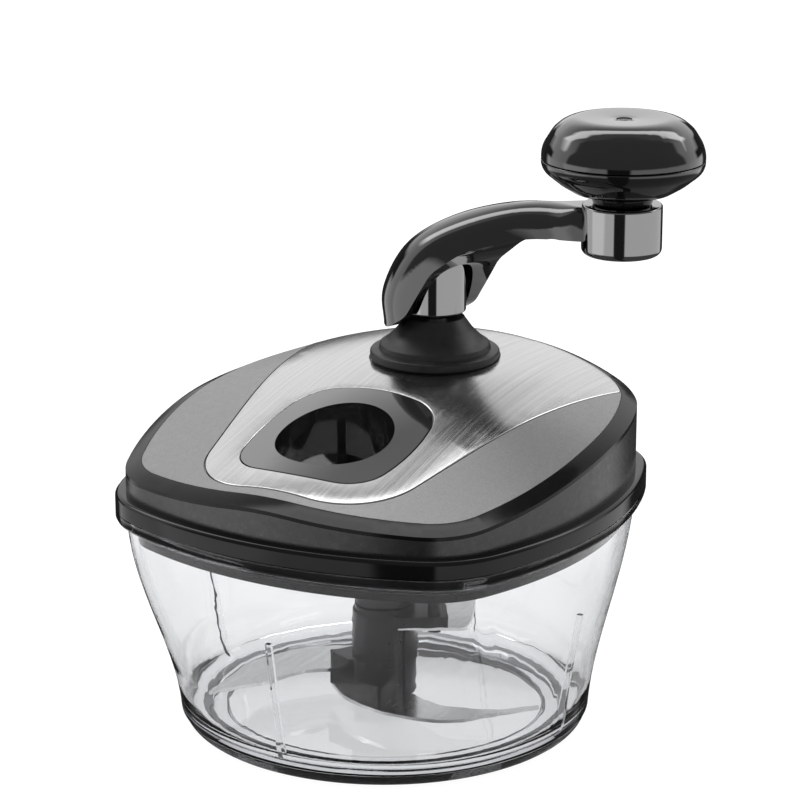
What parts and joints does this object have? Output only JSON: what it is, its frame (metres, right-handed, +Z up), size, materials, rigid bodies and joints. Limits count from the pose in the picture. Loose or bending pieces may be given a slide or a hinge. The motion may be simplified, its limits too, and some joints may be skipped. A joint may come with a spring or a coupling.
{
  "type": "crank food chopper",
  "caption": "Hand cranked food chopper with a clear bowl, a domed geared lid with a feed hole, a swan-neck crank with a turning knob, and a blade unit on a centre pin.",
  "frame": {"origin": "centre of the bowl's foot, on the blade axis, at table level", "axes": "+Z up along the blade and crank axes, +X along the crank arm at rest, +Y from the blade axis towards the crank shaft, -Y towards the feed hole"},
  "size_m": [0.1806, 0.1664, 0.2103],
  "materials": {
    "bowl_clear": "clear",
    "foot_rubber": "matt",
    "pin_steel": "satin",
    "lid_wall_grey": "satin",
    "band_black": "gloss",
    "lid_top_grey": "satin metallic",
    "cover_steel": "brushed",
    "insert_black": "gloss",
    "flange_black": "gloss",
    "seal_grey": "matt",
    "cover_plastic": "matt",
    "bush_white": "matt",
    "boot_rubber": "matt",
    "screw_steel": "satin",
    "gear_plastic": "matt",
    "shaft_steel": "turned",
    "sleeve_dark": "blackened",
    "arm_black": "gloss",
    "neck_chrome": "dark polished",
    "knob_black": "gloss",
    "disc_grey": "satin",
    "hub_plastic": "satin",
    "blade_steel": "ground"
  },
  "bodies": {
    "bowl": {"bowl_shell": "bowl_clear", "foot_ring": "foot_rubber", "pivot_pin": "pin_steel"},
    "lid": {"lid_wall": "lid_wall_grey", "edge_band": "band_black", "lid_top": "lid_top_grey", "steel_cover": "cover_steel", "feed_insert": "insert_black", "feed_tube": "insert_black", "lid_flange": "flange_black", "lid_seal": "seal_grey", "gear_cover": "cover_plastic", "crank_bush_lower": "bush_white", "crank_bush_upper": "bush_white", "pinion_bush_lower": "bush_white", "pinion_bush_upper": "bush_white", "shaft_boot": "boot_rubber", "cover_screws": "screw_steel"},
    "crank": {"crank_shaft": "shaft_steel", "crank_gear": "gear_plastic", "shaft_clip": "screw_steel", "shaft_sleeve": "neck_chrome", "crank_arm": "arm_black", "knob_collar": "neck_chrome", "collar_cap": "neck_chrome", "knob_spindle": "shaft_steel"},
    "knob": {"knob_neck": "knob_black", "knob_lower": "knob_black", "knob_upper": "knob_black", "knob_disc": "disc_grey", "knob_bush": "bush_white"},
    "drive": {"pinion": "shaft_steel", "pinion_shaft": "shaft_steel", "drive_sleeve": "sleeve_dark"},
    "blades": {"blade_hub": "hub_plastic", "blade_lower": "blade_steel", "blade_middle": "blade_steel", "blade_upper": "blade_steel", "blade_pins": "hub_plastic"}
  },
  "joints": [
    {"name": "lid_lift", "type": "slide", "parent": "bowl", "child": "lid", "axis": [0, 0, 1], "range_m": [0, 0.12]},
    {"name": "crank_turn", "type": "hinge", "parent": "lid", "child": "crank", "pos_m": [0, 0.0345, 0.15], "axis": [0, 0, 1], "continuous": true},
    {"name": "knob_spin", "type": "hinge", "parent": "crank", "child": "knob", "pos_m": [0.0704, 0.0345, 0.197], "axis": [0, 0, 1], "continuous": true},
    {"name": "drive_turn", "type": "hinge", "parent": "lid", "child": "drive", "pos_m": [0, 0, 0.096], "axis": [0, 0, 1], "continuous": true},
    {"name": "blade_turn", "type": "hinge", "parent": "bowl", "child": "blades", "pos_m": [0, 0, 0.025], "axis": [0, 0, 1], "continuous": true}
  ],
  "couplings": [
    {"joint": "drive_turn", "follows": "crank_turn", "ratio": -2.8333},
    {"joint": "blade_turn", "follows": "crank_turn", "ratio": -2.8333}
  ]
}
